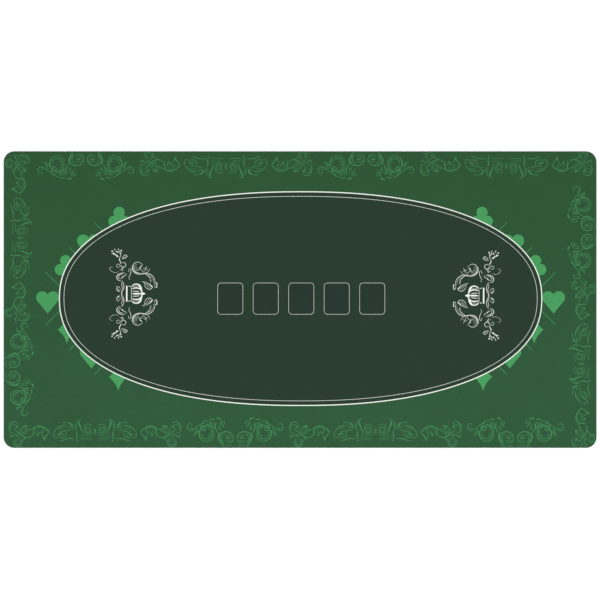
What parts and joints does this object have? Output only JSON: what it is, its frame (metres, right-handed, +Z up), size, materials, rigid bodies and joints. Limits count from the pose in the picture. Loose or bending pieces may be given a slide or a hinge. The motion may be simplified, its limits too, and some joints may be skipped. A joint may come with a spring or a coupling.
{
  "type": "poker mat",
  "caption": "Flat poker mat: printed green cloth bonded to black foam rubber, with an oval playing field, card places, suit marks, crowned ornaments and a scrollwork border.",
  "frame": {"origin": "middle of the mat's underside, on the surface it lies on", "axes": "+X along the mat's length, +Y across it, +Z up out of the printed face"},
  "size_m": [1.8, 0.9, 0.0027],
  "materials": {
    "foam_rubber": "matt black closed-cell foam rubber with an embossed underside",
    "hot_melt_film": "thin cloudy film",
    "green_cloth": "fine knitted polyester cloth, dyed green",
    "scroll_print": "lighter green print on cloth, matt",
    "suit_print": "bright green print on cloth, matt",
    "field_print": "very dark green print on cloth, matt",
    "place_print": "very dark bluish green print on cloth, matt",
    "ivory_print": "ivory print on cloth, matt"
  },
  "bodies": {
    "root": {"rubber_base": "foam_rubber", "bond_film": "hot_melt_film", "playing_cloth": "green_cloth", "border_scrolls_top": "scroll_print", "border_scrolls_right": "scroll_print", "border_scrolls_bottom": "scroll_print", "border_scrolls_left": "scroll_print", "suit_marks_left": "suit_print", "suit_marks_right": "suit_print", "lattice_lines_left": "suit_print", "lattice_lines_right": "suit_print", "oval_field": "field_print", "oval_outer_line": "ivory_print", "oval_inner_line": "ivory_print", "card_frame_1": "ivory_print", "card_frame_2": "ivory_print", "card_frame_3": "ivory_print", "card_frame_4": "ivory_print", "card_frame_5": "ivory_print", "card_fill_1": "place_print", "card_fill_2": "place_print", "card_fill_3": "place_print", "card_fill_4": "place_print", "card_fill_5": "place_print", "crown_left": "ivory_print", "crown_right": "ivory_print", "crown_scrolls_left": "ivory_print", "crown_scrolls_right": "ivory_print", "vine_column_left": "ivory_print", "vine_column_right": "ivory_print"}
  },
  "joints": []
}
